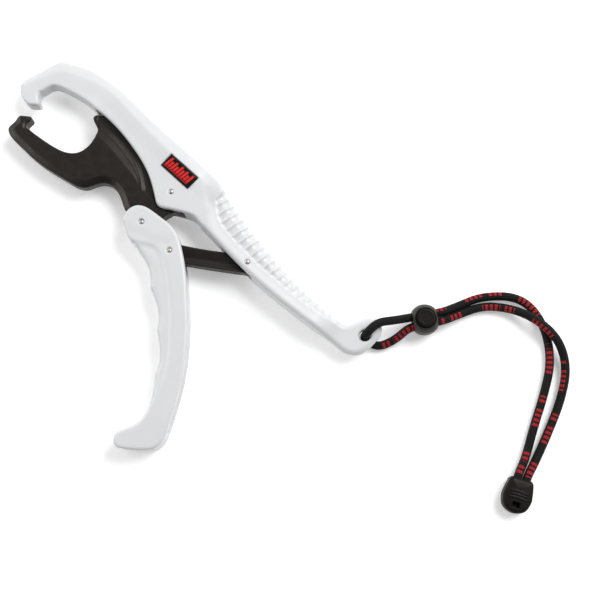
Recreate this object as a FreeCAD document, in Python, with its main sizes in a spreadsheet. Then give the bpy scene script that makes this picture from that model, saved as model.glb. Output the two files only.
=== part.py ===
"""Lip grip: a fishing tool that holds a fish by its lower lip.

The grip lies on its side. The origin is on the jaw's pivot axis, on the plane that the
grip lies on. +X runs along the handle from the jaws to the lanyard eye, +Z is up through
the grip's thickness, and the lower jaw and the lever are on the -Y side. Millimetres.
"""
import FreeCAD, Part
import math
import os
import Sketcher

Vector = FreeCAD.Vector

DIMENSIONS = {
    "body_thickness": 16.0,
    "mid_plane": 8.0,
    "jaw_thickness": 9.0,
    "jaw_channel": 9.4,
    "link_thickness": 8.0,
    "link_channel": 8.4,
    "chamber_depth": 5.5,
    "lever_pivot_x": -1.0,
    "lever_pivot_y": -21.4,
    "lever_link_pivot_x": 19.5,
    "lever_link_pivot_y": -23.4,
    "body_link_pivot_x": 53.3,
    "body_link_pivot_y": -2.8,
    "pin_radius": 1.5,
    "pin_length": 14.5,
    "pin_foot": 1.3,
    "pin_bore_floor": 1.2,
    "pin_dome": 0.5,
    "running_radius": 1.55,
    "open_pivot_radius": 2.1,
    "pin_recess_radius": 2.2,
    "pin_recess_depth": 0.6,
    "scallop_count": 20,
    "scallop_depth": 0.9,
    "eye_x": 121.8,
    "eye_y": 6.8,
    "eye_radius": 2.7,
    "eye_rim_radius": 3.9,
    "eye_rim_depth": 0.6,
    "eye_low": 4.8,
    "eye_high": 11.2,
    "label_length": 18.8,
    "label_width": 7.8,
    "label_thickness": 1.4,
    "label_seat": 0.9,
    "label_gap": 0.15,
    "label_bevel": 0.5,
    "label_x": -3.7,
    "label_y": 10.8,
    "label_turn": -2.5,
    "cord_radius": 2.15,
    "lock_x": 139.5,
    "lock_y": 33.0,
    "lock_turn": 49.0,
    "lock_height": 12.4,
    "lock_flats": 12.2,
    "lock_bore_radius": 5.2,
    "lock_floor": 1.3,
    "lock_cord_height": 6.9,
    "lock_cord_offset": 2.2,
    "lock_travel": 2.0,
    "plunger_radius": 5.1,
    "plunger_low": 3.9,
    "plunger_shoulder": 12.1,
    "button_radius": 4.35,
    "button_top": 14.3,
    "spring_wire_radius": 0.25,
    "spring_turns": 3,
    "spring_foot": 2.4,
    "spring_head": 4.5,
    "clamp_x": 225.55,
    "clamp_y": 2.4,
    "clamp_turn": -67.9,
    "clamp_thickness": 8.6,
    "clamp_cord_height": 4.3,
    "clamp_cord_depth": 6.0,
    "clamp_window_length": 2.6,
    "clamp_window_width": 3.8,
}

# Outlines, each a closed chain of stretches. Two points make a straight edge and more
# make one smooth curve through them.
HOOK_AND_BACK = [
    [(-84.6, -8.9), (-88.4, -11.6)],
    [
        (-88.4, -11.6), (-90.6, -11.9), (-97.4, -9.2), (-100.2, -7.0), (-100.9, -3.2),
        (-98.8, 3.0), (-95.4, 12.4), (-93.2, 16.8), (-89.2, 19.3), (-79.0, 23.3),
        (-68.0, 25.0), (-56.0, 25.0), (-36.0, 23.2), (-14.0, 22.1), (6.0, 21.2),
        (13.5, 20.3), (20.5, 18.0),
    ],
]
RIBBED_BACK = [
    (20.5, 18.0), (34.0, 14.1), (47.5, 10.7), (61.0, 8.1), (76.0, 5.7), (92.0, 4.5),
    (106.5, 4.6),
]
EYE_AND_BELLY = [
    [
        (106.5, 4.6), (110.5, 5.0), (113.0, 7.9), (115.6, 13.0), (118.2, 16.3),
        (121.6, 17.3), (125.4, 16.0), (127.5, 13.0), (127.9, 7.6), (127.1, 1.2),
        (124.6, -3.4), (121.0, -5.7), (116.0, -6.5),
    ],
    [(116.0, -6.5), (102.0, -6.8), (80.0, -7.6), (60.0, -7.2), (40.0, -5.5), (21.0, -3.0)],
    [(21.0, -3.0), (16.6, -2.4), (10.0, -4.9), (4.0, -8.0), (1.4, -9.3), (-1.8, -9.2)],
    [
        (-1.8, -9.2), (-5.6, -6.6), (-12.0, -2.2), (-20.0, 1.8), (-30.0, 5.0),
        (-42.0, 7.6), (-52.0, 8.6), (-60.0, 8.6),
    ],
    [
        (-60.0, 8.6), (-68.0, 8.6), (-76.0, 7.4), (-83.6, 5.3), (-85.8, 4.0),
        (-87.3, 0.8), (-88.7, -2.9),
    ],
    [(-88.7, -2.9), (-88.2, -4.6), (-84.9, -7.2)],
    [(-84.9, -7.2), (-84.6, -8.9)],
]
JAW_CHANNEL = [
    [(-60.0, -14.0), (-60.0, 9.6)],
    [
        (-60.0, 9.6), (-57.0, 13.4), (-50.0, 15.7), (-36.0, 16.0), (-14.0, 13.1),
        (2.0, 11.0), (8.5, 7.5), (10.8, 2.0), (11.2, -3.0),
    ],
    [(11.2, -3.0), (10.2, -14.0)],
    [(10.2, -14.0), (-60.0, -14.0)],
]
LINK_CHANNEL = [
    [(30.0, -9.4), (50.3, 2.4)],
    [(50.3, 2.4), (53.6, 3.2), (57.4, 1.6), (59.3, -2.6), (58.8, -7.0)],
    [(58.8, -7.0), (57.8, -12.0)],
    [(57.8, -12.0), (30.0, -12.0)],
    [(30.0, -12.0), (30.0, -9.4)],
]
FLOAT_CHAMBER = [
    [(64.0, -4.6), (103.0, -4.0)],
    [(103.0, -4.0), (103.0, 1.4)],
    [(103.0, 1.4), (84.0, 1.9), (64.0, 4.6)],
    [(64.0, 4.6), (64.0, -4.6)],
]
LOWER_JAW = [
    [(-88.1, -18.7), (-83.7, -15.8)],
    [
        (-83.7, -15.8), (-82.7, -16.1), (-82.2, -17.6), (-82.5, -20.0), (-81.9, -21.3),
        (-80.2, -21.7),
    ],
    [
        (-80.2, -21.7), (-78.0, -21.6), (-70.0, -21.1), (-62.0, -20.1), (-55.6, -18.1),
        (-51.4, -14.4), (-49.8, -9.0), (-50.3, -3.4), (-52.5, 1.4), (-56.0, 3.0),
        (-57.9, 4.3), (-57.4, 7.0),
    ],
    [
        (-57.4, 7.0), (-52.0, 10.6), (-36.0, 12.0), (-14.0, 10.8), (0.0, 9.5),
        (8.0, 5.2), (9.5, -1.0), (8.2, -5.2),
    ],
    [(8.2, -5.2), (5.0, -12.6), (5.2, -18.0)],
    [
        (5.2, -18.0), (5.9, -22.6), (3.4, -27.0), (-1.4, -28.4), (-6.0, -26.3),
        (-8.8, -23.9), (-13.2, -21.6),
    ],
    [
        (-13.2, -21.6), (-18.9, -18.4), (-22.4, -16.9), (-26.4, -16.4), (-30.5, -18.0),
        (-33.7, -21.9), (-36.4, -26.2), (-39.6, -28.0), (-46.0, -29.3), (-58.0, -31.1),
        (-70.0, -31.5), (-80.0, -30.8), (-86.4, -29.6), (-88.6, -27.6), (-88.7, -25.6),
        (-88.4, -22.9),
    ],
    [(-88.4, -22.9), (-88.1, -18.7)],
]
LEVER = [
    [
        (-9.0, -27.2), (-10.4, -23.6), (-10.2, -19.0), (-8.2, -15.9), (-4.6, -14.1),
        (0.0, -13.5), (6.0, -13.2), (11.0, -13.1), (16.4, -14.3), (22.3, -17.8),
        (30.4, -24.2), (41.8, -35.2), (52.2, -46.6), (61.4, -58.8), (69.3, -71.8),
        (74.5, -83.0), (78.4, -92.2), (79.8, -97.0), (79.2, -101.4), (76.4, -105.2),
    ],
    [(76.4, -105.2), (65.6, -112.8)],
    [(65.6, -112.8), (63.4, -113.2), (61.2, -112.0), (59.4, -108.4)],
    [
        (59.4, -108.4), (60.4, -105.0), (62.2, -101.8), (63.9, -98.4), (64.5, -95.0),
        (63.2, -88.6), (59.4, -81.0), (54.7, -74.6),
    ],
    [(54.7, -74.6), (53.8, -71.6), (48.2, -63.9), (40.8, -57.6)],
    [(40.8, -57.6), (39.5, -55.2), (34.6, -49.8), (24.4, -44.2)],
    [(24.4, -44.2), (22.3, -41.5), (16.6, -36.8), (10.8, -34.6), (3.0, -32.0)],
    [(3.0, -32.0), (-1.6, -31.5), (-5.0, -29.4), (-9.0, -27.2)],
]
LEVER_CHANNEL = [
    [(-12.0, -34.0), (-4.2, -28.5)],
    [
        (-4.2, -28.5), (-1.2, -29.2), (3.0, -28.2), (8.0, -27.4), (13.0, -28.2),
        (19.0, -30.2), (26.0, -30.6), (32.0, -30.0), (40.4, -36.8), (50.6, -48.0),
        (59.6, -60.0), (67.4, -72.8), (72.4, -83.6), (76.6, -93.2),
    ],
    [(76.6, -93.2), (90.0, -92.0)],
    [(90.0, -92.0), (40.0, 0.0)],
    [(40.0, 0.0), (-30.0, 0.0)],
    [(-30.0, 0.0), (-12.0, -34.0)],
]
LINK_BAR = [
    [(17.4, -19.0), (34.0, -10.0), (50.6, 1.2)],
    [(50.6, 1.2), (54.6, 2.2), (58.0, -0.6), (58.2, -4.4), (55.8, -7.2)],
    [(55.8, -7.2), (39.6, -17.2), (22.2, -27.4)],
    [(22.2, -27.4), (18.2, -28.2), (14.9, -25.4), (14.8, -21.8), (17.4, -19.0)],
]
# The clamp's outline starts at its mouth and runs away from the cord.
CLAMP = [
    [(0.0, -4.8), (0.0, 4.8)],
    [
        (0.0, 4.8), (1.2, 6.0), (6.5, 7.0), (10.5, 7.2), (15.2, 5.2), (17.4, 0.0),
        (15.2, -5.2), (10.5, -7.2), (6.5, -7.0), (1.2, -6.0), (0.0, -4.8),
    ],
]
# Half of the cord lock's outline in side view, as (radius, z).
LOCK_SIDE = [
    [(0.0, 0.0), (5.6, 0.0)],
    [(5.6, 0.0), (6.8, 1.8), (7.7, 4.8), (7.85, 7.4), (7.2, 10.2), (5.6, 12.4)],
    [(5.6, 12.4), (0.0, 12.4)],
    [(0.0, 12.4), (0.0, 0.0)],
]
# Side views that thin the body towards the jaw tips and the lanyard eye, as (x, z).
FRONT_THINNING = [
    [
        (-110.0, 12.5), (-80.0, 12.5), (-62.0, 15.0), (-44.0, 16.0), (-44.0, 24.0),
        (-110.0, 24.0),
    ],
    [(97.0, 16.0), (112.0, 11.2), (136.0, 11.2), (136.0, 24.0), (97.0, 24.0)],
]
BACK_THINNING = [
    [
        (-110.0, 3.5), (-80.0, 3.5), (-62.0, 1.0), (-44.0, 0.0), (-44.0, -8.0),
        (-110.0, -8.0),
    ],
    [(97.0, 0.0), (112.0, 4.8), (136.0, 4.8), (136.0, -8.0), (97.0, -8.0)],
]
# The lanyard's route from the clamp, through the lock, down the eye and back.
CORD_ROUTE = [
    (225.8, -4.0, 4.3), (223.0, 2.9, 4.3), (221.3, 11.6, 2.4), (214.8, 27.0, 2.2),
    (209.0, 43.0, 2.2), (201.7, 58.5, 2.2), (188.0, 71.0, 2.2), (170.5, 75.2, 2.2),
    (154.6, 63.0, 2.2), (147.4, 48.6, 3.6), (143.1, 40.5, 6.9), (132.6, 28.4, 6.9),
    (128.0, 21.8, 12.0), (122.4, 15.4, 14.4), (121.8, 6.8, 13.9), (121.8, 6.8, 2.2),
    (130.2, 7.4, 2.2), (134.8, 17.0, 3.0), (135.9, 25.5, 6.9), (146.4, 37.6, 6.9),
    (150.2, 45.4, 3.6), (157.4, 58.6, 2.2), (169.5, 66.6, 3.4), (182.5, 69.4, 7.6),
    (197.0, 68.6, 7.2), (209.5, 61.0, 3.0), (217.0, 46.5, 2.2), (222.0, 29.5, 2.2),
    (226.0, 13.0, 2.4), (227.1, 4.5, 4.3), (229.85, -2.33, 4.3),
]
ARC_SHARE = 0.45

doc = FreeCAD.newDocument("lip_grip")
sheet = doc.addObject("Spreadsheet::Sheet", "Sizes")


def fill_sheet():
    """Put every driving dimension in the sheet under its own alias."""
    for row, (name, number) in enumerate(DIMENSIONS.items(), start=1):
        sheet.set(f"A{row}", name)
        sheet.set(f"B{row}", str(number))
        sheet.setAlias(f"B{row}", name)
    doc.recompute()


def size(name):
    return float(sheet.get(name))


def pivot(name):
    """A pivot's place in plan, from the sheet."""
    return (size(f"{name}_x"), size(f"{name}_y"))


def new_body(name):
    body = doc.addObject("PartDesign::Body", name)
    body.Label = name
    body.Placement = FreeCAD.Placement()
    return body


def new_sketch(body, name, role="XY_Plane", height=None):
    """A sketch on one of the body's own origin planes, raised by a sheet expression."""
    sketch = body.newObject("Sketcher::SketchObject", name)
    plane = next(f for f in body.Origin.OriginFeatures if f.Role == role)
    sketch.AttachmentSupport = [(plane, "")]
    sketch.MapMode = "FlatFace"
    if height:
        sketch.setExpression("AttachmentOffset.Base.z", height)
    return sketch


def draw_outline(sketch, outline):
    for stretch in outline:
        points = [Vector(x, y, 0) for x, y in stretch]
        if len(points) == 2:
            sketch.addGeometry(Part.LineSegment(*points), False)
        else:
            curve = Part.BSplineCurve()
            curve.interpolate(points)
            sketch.addGeometry(curve, False)


def draw_polygon(sketch, corners):
    points = [Vector(x, y, 0) for x, y in corners]
    for start, end in zip(points, points[1:] + points[:1]):
        sketch.addGeometry(Part.LineSegment(start, end), False)


def draw_circle(sketch, centre, radius_name):
    """A circle whose radius is bound to the sheet."""
    circle = Part.Circle(Vector(*centre, 0), Vector(0, 0, 1), size(radius_name))
    index = sketch.addGeometry(circle, False)
    constraint = sketch.addConstraint(Sketcher.Constraint("Radius", index, size(radius_name)))
    name = f"radius_{index}"
    sketch.renameConstraint(constraint, name)
    sketch.setExpression(f"Constraints.{name}", f"Sizes.{radius_name}")


def draw_scallops(sketch):
    """The hollows between the ribs: equal arcs along the ribbed back."""
    curve = Part.BSplineCurve()
    curve.interpolate([Vector(x, y, 0) for x, y in RIBBED_BACK])
    tips = curve.discretize(Number=int(size("scallop_count")) + 1)
    for start, end in zip(tips, tips[1:]):
        along = end - start
        inward = Vector(along.y, -along.x, 0).normalize()
        middle = (start + end) * 0.5 + inward * size("scallop_depth")
        sketch.addGeometry(Part.Arc(start, middle, end), False)


def add_pad(body, sketch, length, midplane=False):
    pad = body.newObject("PartDesign::Pad", f"{sketch.Name}_pad")
    pad.Profile = sketch
    pad.setExpression("Length", length)
    pad.Midplane = midplane
    return pad


def add_pocket(body, sketch, length, upward=False, midplane=False):
    """Cut a sketch's shape out of the body, and check that it took something away."""
    doc.recompute()
    before = body.Shape.Volume
    pocket = body.newObject("PartDesign::Pocket", f"{sketch.Name}_cut")
    pocket.Profile = sketch
    pocket.setExpression("Length", length)
    pocket.Reversed = upward
    pocket.Midplane = midplane
    doc.recompute()
    if not body.Shape.Volume < before - 0.01:
        raise RuntimeError(f"{pocket.Name} cuts nothing from {body.Name}")
    return pocket


def cut_side_view(body, name, polygons):
    """Cut polygons of the side view right across the body."""
    sketch = new_sketch(body, name, role="XZ_Plane")
    for corners in polygons:
        draw_polygon(sketch, corners)
    add_pocket(body, sketch, "400", midplane=True)


def cut_round(body, name, centre, radius, depth, height, upward):
    sketch = new_sketch(body, name, height=height)
    draw_circle(sketch, centre, radius)
    add_pocket(body, sketch, depth, upward=upward)


def cut_pin_hole(body, centre):
    """A bore for a pin pressed in from the front, and the recess around the pin's head."""
    cut_round(body, "pin_bore", centre, "pin_radius", "Sizes.body_thickness",
              "Sizes.pin_bore_floor", True)
    cut_round(body, "pin_recess", centre, "pin_recess_radius", "Sizes.body_thickness",
              "Sizes.body_thickness - Sizes.pin_recess_depth", True)


def cut_inside(body, name, outline, depth, upward):
    """Cut an outline into a half shell from the plane where the halves meet."""
    sketch = new_sketch(body, name, height="Sizes.mid_plane")
    draw_outline(sketch, outline)
    add_pocket(body, sketch, depth, upward=upward)


def cut_eye(body, prefix, front):
    """The lanyard's hole, with its rim eased where the cord leaves it."""
    centre = pivot("eye")
    cut_round(body, f"{prefix}_eye", centre, "eye_radius", "Sizes.body_thickness",
              "Sizes.mid_plane", front)
    height = "Sizes.eye_high - Sizes.eye_rim_depth" if front else "Sizes.eye_low + Sizes.eye_rim_depth"
    cut_round(body, f"{prefix}_eye_rim", centre, "eye_rim_radius", "Sizes.body_thickness",
              height, front)


def make_body_half(front):
    """One half of the white main body: hook, neck, waist, ribbed handle and eye."""
    name = "body_front" if front else "body_back"
    body = new_body(name)
    outline = new_sketch(body, f"{name}_outline", height="Sizes.mid_plane" if front else None)
    draw_outline(outline, HOOK_AND_BACK)
    draw_scallops(outline)
    draw_outline(outline, EYE_AND_BELLY)
    add_pad(body, outline, "Sizes.body_thickness / 2")
    cut_side_view(body, f"{name}_thinning", FRONT_THINNING if front else BACK_THINNING)
    cut_inside(body, f"{name}_jaw", JAW_CHANNEL, "Sizes.jaw_channel / 2", front)
    cut_inside(body, f"{name}_link", LINK_CHANNEL, "Sizes.link_channel / 2", front)
    cut_inside(body, f"{name}_float", FLOAT_CHAMBER, "Sizes.chamber_depth", front)
    for centre in ((0.0, 0.0), pivot("body_link_pivot")):
        if front:
            cut_pin_hole(body, centre)
        else:
            cut_round(body, "blind_bore", centre, "pin_radius",
                      "Sizes.mid_plane - Sizes.pin_bore_floor", "Sizes.mid_plane", False)
    cut_eye(body, name, front)
    if front:
        cut_label_seat(body)
    return body


def label_corners(growth):
    """The label's corners in plan, each side moved out by growth."""
    half_length = size("label_length") / 2 + growth
    half_width = size("label_width") / 2 + growth
    turn = math.radians(size("label_turn"))
    corners = []
    for x, y in ((-1, -1), (1, -1), (1, 1), (-1, 1)):
        along = x * half_length
        across = y * half_width
        corners.append((
            size("label_x") + along * math.cos(turn) - across * math.sin(turn),
            size("label_y") + along * math.sin(turn) + across * math.cos(turn),
        ))
    return corners


def cut_label_seat(body):
    sketch = new_sketch(body, "label_seat", height="Sizes.body_thickness - Sizes.label_seat")
    draw_polygon(sketch, label_corners(size("label_gap")))
    add_pocket(body, sketch, "Sizes.body_thickness", upward=True)


def make_label():
    """The black plate on the waist, with a bevelled rim."""
    body = new_body("label_plate")
    sketch = new_sketch(body, "label_outline", height="Sizes.body_thickness - Sizes.label_seat")
    draw_polygon(sketch, label_corners(0.0))
    add_pad(body, sketch, "Sizes.label_thickness")
    doc.recompute()
    top = size("body_thickness") - size("label_seat") + size("label_thickness")
    rim = [
        f"Edge{index}" for index, edge in enumerate(body.Shape.Edges, start=1)
        if all(abs(vertex.Z - top) < 1e-6 for vertex in edge.Vertexes)
    ]
    plate = body.Tip
    bevel = body.newObject("PartDesign::Chamfer", "label_rim")
    bevel.Base = (plate, rim)
    bevel.setExpression("Size", "Sizes.label_bevel")
    return body


def make_plate(name, outline, thickness, bores):
    """A flat bar about the mid plane, with bores through it as (centre, radius name)."""
    body = new_body(name)
    sketch = new_sketch(body, f"{name}_outline", height="Sizes.mid_plane")
    draw_outline(sketch, outline)
    add_pad(body, sketch, thickness, midplane=True)
    for index, (centre, radius) in enumerate(bores):
        bore = new_sketch(body, f"{name}_bore_{index}", height="Sizes.mid_plane")
        draw_circle(bore, centre, radius)
        add_pocket(body, bore, "Sizes.body_thickness * 2", midplane=True)
    return body


def make_lever():
    """The white squeeze lever: one moulding, open along the side that faces the handle."""
    body = make_plate("lever", LEVER, "Sizes.body_thickness", [])
    channel = new_sketch(body, "lever_channel", height="Sizes.mid_plane")
    draw_outline(channel, LEVER_CHANNEL)
    add_pocket(body, channel, "Sizes.jaw_channel", midplane=True)
    for centre in (pivot("lever_pivot"), pivot("lever_link_pivot")):
        cut_pin_hole(body, centre)
    return body


def make_pin(name, centre):
    """A steel pin with slightly domed ends, just below the front face."""
    pin = doc.addObject("Part::Cylinder", f"{name}_shank")
    pin.setExpression("Radius", "Sizes.pin_radius")
    pin.setExpression("Height", "Sizes.pin_length")
    doc.recompute()
    ends = [
        index for index, edge in enumerate(pin.Shape.Edges, start=1)
        if isinstance(edge.Curve, Part.Circle)
    ]
    domed = doc.addObject("Part::Fillet", name)
    domed.Base = pin
    domed.Edges = [(index, size("pin_dome"), size("pin_dome")) for index in ends]
    domed.Label = name
    domed.Placement.Base = Vector(*centre, size("pin_foot"))
    return domed


def shaped(name, shape, place=None):
    feature = doc.addObject("Part::Feature", name)
    feature.Label = name
    feature.Shape = shape
    feature.Placement = place or FreeCAD.Placement()
    return feature


def lock_place():
    turn = FreeCAD.Rotation(Vector(0, 0, 1), size("lock_turn"))
    return FreeCAD.Placement(Vector(size("lock_x"), size("lock_y"), 0), turn)


def draw_slot(sketch, low, high, half_width):
    """A slot in a side view, as wide as the two cords lie, with round ends."""
    radius = (high - low) / 2
    middle = (high + low) / 2
    flat = half_width - radius
    for side in (-1, 1):
        height = middle + side * radius
        sketch.addGeometry(Part.LineSegment(Vector(-flat, height, 0), Vector(flat, height, 0)), False)
        start = Vector(side * flat, low, 0)
        end = Vector(side * flat, high, 0)
        sketch.addGeometry(Part.Arc(start, Vector(side * half_width, middle, 0), end), False)


def make_lock_barrel():
    """The lock's ball, flat where the cords pass through and bored from the top."""
    body = new_body("cord_lock_barrel")
    side_view = new_sketch(body, "lock_side_view", role="XZ_Plane")
    draw_outline(side_view, LOCK_SIDE)
    ball = body.newObject("PartDesign::Revolution", "lock_ball")
    ball.Profile = side_view
    ball.ReferenceAxis = (side_view, ["V_Axis"])
    ball.Angle = 360
    flats = new_sketch(body, "lock_flats")
    near = size("lock_flats") / 2
    far = size("lock_flats")
    for side in (-1, 1):
        draw_polygon(flats, [(side * near, -far), (side * far, -far), (side * far, far), (side * near, far)])
    add_pocket(body, flats, "Sizes.lock_height", upward=True)
    cut_round(body, "lock_bore", (0.0, 0.0), "lock_bore_radius", "Sizes.lock_height",
              "Sizes.lock_floor", True)
    passage = new_sketch(body, "lock_passage", role="YZ_Plane")
    low = size("lock_cord_height") - size("cord_radius") - 0.1
    high = size("lock_cord_height") + size("cord_radius") + 0.1
    draw_slot(passage, low, high, size("lock_cord_offset") + size("cord_radius") + 0.2)
    add_pocket(body, passage, "40", midplane=True)
    body.Placement = lock_place()
    return body


def make_lock_plunger():
    """The button, with a slot through it that the cords pass and that frees them when pressed."""
    body = new_body("cord_lock_plunger")
    for name, radius, top in (("stem", "plunger_radius", "plunger_shoulder"),
                              ("button", "button_radius", "button_top")):
        disc = new_sketch(body, f"plunger_{name}", height="Sizes.plunger_low")
        draw_circle(disc, (0.0, 0.0), radius)
        add_pad(body, disc, f"Sizes.{top} - Sizes.plunger_low")
    doc.recompute()
    slot = new_sketch(body, "plunger_slot", role="YZ_Plane")
    half_width = size("lock_cord_offset") + size("cord_radius") + 0.15
    low = size("lock_cord_height") - size("cord_radius") - 0.1
    high = size("lock_cord_height") + size("cord_radius") + size("lock_travel") + 0.1
    draw_polygon(slot, [(-half_width, low), (half_width, low), (half_width, high), (-half_width, high)])
    add_pocket(body, slot, "40", midplane=True)
    body.Placement = lock_place()
    return body


def clamp_place():
    turn = FreeCAD.Rotation(Vector(0, 0, 1), size("clamp_turn"))
    return FreeCAD.Placement(Vector(size("clamp_x"), size("clamp_y"), 0), turn)


def make_clamp_half(front):
    """Half of the clamp that joins the cord's two ends; the front half has a window."""
    name = "cord_end_front" if front else "cord_end_back"
    body = new_body(name)
    sketch = new_sketch(body, f"{name}_outline", height="Sizes.clamp_cord_height" if front else None)
    draw_outline(sketch, CLAMP)
    add_pad(body, sketch, "Sizes.clamp_thickness / 2")
    for side in (-1, 1):
        bore = new_sketch(body, f"{name}_bore_{side + 1}", role="YZ_Plane")
        centre = (side * size("lock_cord_offset"), size("clamp_cord_height"))
        circle = Part.Circle(Vector(*centre, 0), Vector(0, 0, 1), size("cord_radius") + 0.05)
        bore.addGeometry(circle, False)
        add_pocket(body, bore, "Sizes.clamp_cord_depth * 2", midplane=True)
    if front:
        window = new_sketch(body, "clamp_window", height="Sizes.clamp_cord_height")
        half_width = size("clamp_window_width") / 2
        near = 12.8 - size("clamp_window_length") / 2
        far = 12.8 + size("clamp_window_length") / 2
        draw_polygon(window, [(near, -half_width), (far, -half_width), (far, half_width), (near, half_width)])
        add_pocket(body, window, "Sizes.clamp_thickness", upward=True)
    body.Placement = clamp_place()
    return body


def tangent_path(route):
    """Straight runs joined by arcs tangent to them, and the arcs' radii."""
    points = [Vector(*point) for point in route]
    edges = []
    radii = []
    at = points[0]
    for before, corner, after in zip(points, points[1:], points[2:]):
        back = (before - corner).normalize()
        ahead = (after - corner).normalize()
        half_turn = (math.pi - back.getAngle(ahead)) / 2
        reach = ARC_SHARE * min((before - corner).Length, (after - corner).Length)
        radius = reach / math.tan(half_turn)
        start = corner + back * reach
        end = corner + ahead * reach
        inward = (back + ahead).normalize()
        middle = corner + inward * (radius / math.cos(half_turn) - radius)
        edges.append(Part.LineSegment(at, start).toShape())
        edges.append(Part.Arc(start, middle, end).toShape())
        radii.append(round(radius, 1))
        at = end
    edges.append(Part.LineSegment(at, points[-1]).toShape())
    return Part.Wire(edges), radii


def tube_along(route, radius):
    """A round tube along a route, its path and the radii of its bends."""
    path, radii = tangent_path(route)
    start = Vector(*route[0])
    section = Part.Wire(Part.Circle(start, Vector(*route[1]) - start, radius).toShape())
    return path.makePipeShell([section], True, False), path, radii


def make_cord():
    """The lanyard cord, one length whose two ends meet in the clamp."""
    tube, path, radii = tube_along(CORD_ROUTE, size("cord_radius"))
    expected = math.pi * size("cord_radius") ** 2 * path.Length
    print(f"cord length {path.Length:.1f}, volume ratio {tube.Volume / expected:.4f}")
    print("cord bend radii", radii)
    return shaped("lanyard_cord", tube)


def make_lock_spring():
    """A conical wire spring under the button, whose turns nest when it is pressed."""
    wire = size("spring_wire_radius")
    low = size("lock_floor") + wire + 0.05
    high = size("plunger_low") - wire - 0.05
    steps = int(size("spring_turns")) * 10
    route = []
    for step in range(steps + 1):
        share = step / steps
        radius = size("spring_foot") + share * (size("spring_head") - size("spring_foot"))
        turn = math.radians(36 * step)
        route.append((radius * math.cos(turn), radius * math.sin(turn), low + share * (high - low)))
    return shaped("cord_lock_spring", tube_along(route, wire)[0], lock_place())


def check_document():
    """Stop if a feature failed or has no valid shape."""
    doc.recompute()
    for item in doc.Objects:
        if "Invalid" in item.State or "Error" in item.State:
            raise RuntimeError(f"{item.Name} failed: {item.State}")


def export(parts):
    os.makedirs("parts", exist_ok=True)
    for item in parts:
        shape = item.Shape
        if shape.isNull() or not shape.isValid():
            raise RuntimeError(f"{item.Label} has no valid shape")
        shape.exportStep(f"parts/{item.Label}.step")
        print(item.Label, "solids", len(shape.Solids), "volume", round(shape.Volume, 1))


fill_sheet()
pieces = [
    make_body_half(front=True),
    make_body_half(front=False),
    make_plate("lower_jaw", LOWER_JAW, "Sizes.jaw_thickness",
               [((0.0, 0.0), "running_radius"), (pivot("lever_pivot"), "running_radius")]),
    make_lever(),
    make_plate("link_bar", LINK_BAR, "Sizes.link_thickness",
               [(pivot("lever_link_pivot"), "open_pivot_radius"),
                (pivot("body_link_pivot"), "running_radius")]),
    make_pin("jaw_pin", (0.0, 0.0)),
    make_pin("lever_pin", pivot("lever_pivot")),
    make_pin("lever_link_pin", pivot("lever_link_pivot")),
    make_pin("body_link_pin", pivot("body_link_pivot")),
    make_label(),
    make_cord(),
    make_lock_barrel(),
    make_lock_plunger(),
    make_lock_spring(),
    make_clamp_half(front=True),
    make_clamp_half(front=False),
]
check_document()
export(pieces)
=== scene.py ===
"""The looks of the lip grip: its moulded shells, jaw, lever, link, label, lanyard and lock.

Shapes are worked out in millimetres, as fields that are negative inside a piece, on a grid
of small cells, and each field's zero surface is the piece's mesh. Outlines come from the
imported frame, so each piece keeps the place and size that its node has.
"""

import math

import bmesh
import bpy
import numpy as np
from mathutils import Matrix, Vector


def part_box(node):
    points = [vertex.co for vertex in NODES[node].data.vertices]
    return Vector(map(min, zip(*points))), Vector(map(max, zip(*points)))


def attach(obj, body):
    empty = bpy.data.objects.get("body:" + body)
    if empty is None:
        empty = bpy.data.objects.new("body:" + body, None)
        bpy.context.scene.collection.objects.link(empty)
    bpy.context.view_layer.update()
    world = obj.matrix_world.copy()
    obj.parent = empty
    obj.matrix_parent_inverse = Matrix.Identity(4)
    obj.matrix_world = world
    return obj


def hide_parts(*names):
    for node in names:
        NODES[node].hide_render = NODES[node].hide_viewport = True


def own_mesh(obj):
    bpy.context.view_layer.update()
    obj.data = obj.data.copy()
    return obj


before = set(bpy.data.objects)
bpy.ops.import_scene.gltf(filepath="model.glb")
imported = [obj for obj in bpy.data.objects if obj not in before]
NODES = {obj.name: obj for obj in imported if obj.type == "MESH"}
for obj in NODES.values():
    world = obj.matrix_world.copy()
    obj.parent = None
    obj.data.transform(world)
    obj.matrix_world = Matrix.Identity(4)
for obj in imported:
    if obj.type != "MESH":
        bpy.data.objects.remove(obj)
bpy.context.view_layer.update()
MM = 0.001

# Measures are in millimetres, in the frame's own axes.
CAMERA_PLACE = (144.707, -70.718, 503.399)
CAMERA_TARGET = (85.113, 0.303, 8.0)
CAMERA_UP = (-0.632, 0.753, 0.184)

CELL = 0.42
FINE_CELL = 0.25
TINY = 1e-6

THICKNESS = 16.0
MID_PLANE = 8.0
BODY_CHANNEL_FLOORS = (3.3, 3.8)
LEVER_CHANNEL_FLOOR = 3.3
JAW_LOW, JAW_HIGH = 3.5, 12.5
LINK_LOW, LINK_HIGH = 4.0, 12.0
PIN_SPOTS = {"jaw_pin": (0.0, 0.0), "body_link_pin": (53.3, -2.8),
             "lever_pin": (-1.0, -21.4), "lever_link_pin": (19.5, -23.4)}
PIN_DIAMETER = 3.0
PIN_HOLE_RADIUS = 1.55
LOOSE_HOLE_RADIUS = 2.1  # the link's hole at the pivot that the frame's tree leaves open
RECESS_RADIUS = 1.56
RECESS_FLOOR = 15.1
EYE = (121.8, 6.8)
EYE_RADIUS = 2.7
LABEL_CENTRE = (-3.7, 10.8)
LABEL_SIZE = (18.8, 7.8)
LABEL_TURN = math.radians(-2.5)
LABEL_TOP = 16.5
CORD_DIAMETER = 4.3
CORD_STEP = 0.7
CORD_SIDES = 24
CORD_UV_SPAN = 100.0  # the length of cord that one unit of its UV covers
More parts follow.
